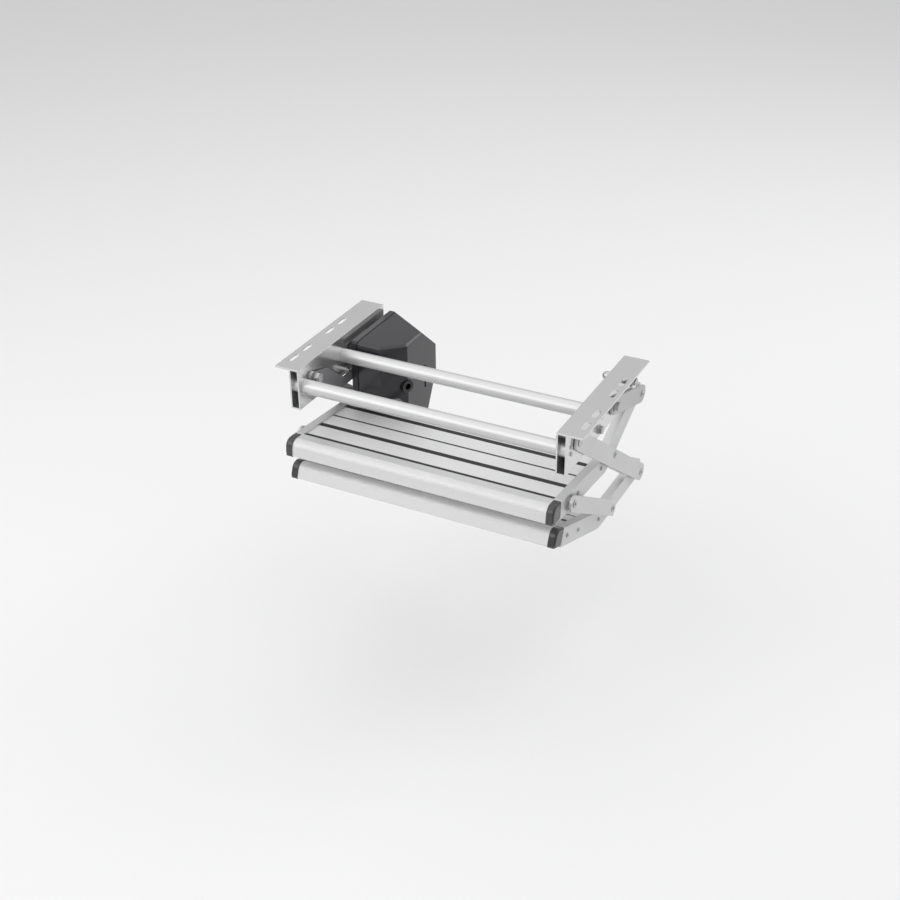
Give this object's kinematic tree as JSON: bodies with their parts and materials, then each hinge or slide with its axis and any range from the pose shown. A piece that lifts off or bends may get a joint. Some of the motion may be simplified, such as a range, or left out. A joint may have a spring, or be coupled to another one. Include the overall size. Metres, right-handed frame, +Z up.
{
  "type": "caravan entry step",
  "caption": "Motor-driven folding double entry step that hangs under a vehicle floor: slotted side rails, cross tubes, linked arms and ribbed treads.",
  "frame": {"origin": "half way between the two mounting rails, at the middle of their slot patterns, on the plane of the flange tops", "axes": "+X across the step to the right seen from outside, +Y towards the inside of the vehicle, +Z up; the treads swing out towards -Y"},
  "size_m": [0.56, 0.41, 0.2776],
  "materials": {
    "rail_aluminium": "satin anodised",
    "tube_aluminium": "bright drawn",
    "plug_plastic": "plain",
    "zinc_steel": "zinc plated",
    "rubber": "plain",
    "bracket_steel": "dark grey, satin",
    "housing_plastic": "moulded, slight sheen",
    "motor_metal": "plain",
    "link_aluminium": "satin",
    "arm_aluminium": "satin",
    "frame_aluminium": "satin",
    "tread_aluminium": "satin anodised, fine ribs on the nose",
    "strip_plastic": "plain",
    "cap_plastic": "dark grey, glossy"
  },
  "bodies": {
    "chassis": {"mounting_rail_left": "rail_aluminium", "mounting_rail_right": "rail_aluminium", "front_cross_tube": "tube_aluminium", "rear_cross_tube": "tube_aluminium", "tube_plugs": "plug_plastic", "tube_screws": "zinc_steel", "pivot_washers": "zinc_steel", "arm_pivot_bolts": "zinc_steel", "arm_pivot_nuts": "zinc_steel", "link_pivot_bolt": "zinc_steel", "link_pivot_nut": "zinc_steel", "rail_bolts": "zinc_steel", "rail_bolt_sleeves": "zinc_steel", "buffer_bolt": "zinc_steel", "rubber_buffer": "rubber", "dome_nut": "zinc_steel", "motor_bracket": "bracket_steel", "bracket_spacers": "zinc_steel", "bracket_screws": "zinc_steel", "motor_back_plate": "housing_plastic", "motor_cover": "housing_plastic", "gearmotor": "motor_metal", "cable_outlet": "rubber"},
    "rear_link_left": {"rear_link_left": "link_aluminium", "drive_shaft": "zinc_steel", "rear_link_pin_left": "zinc_steel"},
    "rear_link_right": {"rear_link_right": "link_aluminium", "rear_link_pin_right": "zinc_steel"},
    "main_arm_left": {"main_arm_left": "arm_aluminium", "arm_bolts_left": "zinc_steel", "arm_bushes_left": "zinc_steel", "arm_nuts_left": "zinc_steel"},
    "main_arm_right": {"main_arm_right": "arm_aluminium", "arm_bolts_right": "zinc_steel", "arm_bushes_right": "zinc_steel", "arm_nuts_right": "zinc_steel"},
    "upper_tread": {"upper_frame_left": "frame_aluminium", "upper_frame_right": "frame_aluminium", "upper_nose": "tread_aluminium", "upper_planks": "tread_aluminium", "upper_groove_strips": "strip_plastic", "upper_end_caps": "cap_plastic", "upper_screws": "zinc_steel", "tread_link_studs": "zinc_steel", "stud_bushes": "zinc_steel"},
    "tread_link_left": {"tread_link_left": "link_aluminium", "tread_link_pin_left": "zinc_steel"},
    "tread_link_right": {"tread_link_right": "link_aluminium", "tread_link_pin_right": "zinc_steel"},
    "lower_tread": {"lower_frame_left": "frame_aluminium", "lower_frame_right": "frame_aluminium", "lower_nose": "tread_aluminium", "lower_planks": "tread_aluminium", "lower_groove_strips": "strip_plastic", "lower_end_caps": "cap_plastic", "lower_screws": "zinc_steel"}
  },
  "joints": [
    {"name": "drive_link_left", "type": "hinge", "parent": "chassis", "child": "rear_link_left", "pos_m": [-0.256, 0.079, -0.0462], "axis": [-1, 0, 0], "range_deg": [0, 104.33]},
    {"name": "rear_link_right_hinge", "type": "hinge", "parent": "chassis", "child": "rear_link_right", "pos_m": [0.256, 0.079, -0.0462], "axis": [-1, 0, 0], "range_deg": [0, 104.33]},
    {"name": "main_arm_left_hinge", "type": "hinge", "parent": "chassis", "child": "main_arm_left", "pos_m": [-0.256, -0.0762, -0.0321], "axis": [-1, 0, 0], "range_deg": [0, 66]},
    {"name": "main_arm_right_hinge", "type": "hinge", "parent": "chassis", "child": "main_arm_right", "pos_m": [0.256, -0.0762, -0.0321], "axis": [-1, 0, 0], "range_deg": [0, 66]},
    {"name": "upper_tread_hinge", "type": "hinge", "parent": "main_arm_left", "child": "upper_tread", "pos_m": [-0.256, 0.09095, -0.14644], "axis": [1, 0, 0], "range_deg": [0, 69.6]},
    {"name": "lower_tread_hinge", "type": "hinge", "parent": "main_arm_left", "child": "lower_tread", "pos_m": [-0.256, 0.23553, -0.26109], "axis": [1, 0, 0], "range_deg": [0, 86.5]},
    {"name": "tread_link_left_hinge", "type": "hinge", "parent": "upper_tread", "child": "tread_link_left", "pos_m": [-0.256, -0.08936, -0.14195], "axis": [-1, 0, 0], "range_deg": [0, 60.92]},
    {"name": "tread_link_right_hinge", "type": "hinge", "parent": "upper_tread", "child": "tread_link_right", "pos_m": [0.256, -0.08936, -0.14195], "axis": [-1, 0, 0], "range_deg": [0, 60.92]}
  ],
  "couplings": [
    {"joint": "rear_link_right_hinge", "follows": "drive_link_left", "ratio": 1},
    {"joint": "main_arm_left_hinge", "follows": "drive_link_left", "ratio": 0.63259},
    {"joint": "main_arm_right_hinge", "follows": "drive_link_left", "ratio": 0.63259},
    {"joint": "upper_tread_hinge", "follows": "drive_link_left", "ratio": 0.66709},
    {"joint": "lower_tread_hinge", "follows": "drive_link_left", "ratio": 0.82908},
    {"joint": "tread_link_left_hinge", "follows": "drive_link_left", "ratio": 0.5839},
    {"joint": "tread_link_right_hinge", "follows": "drive_link_left", "ratio": 0.5839}
  ]
}
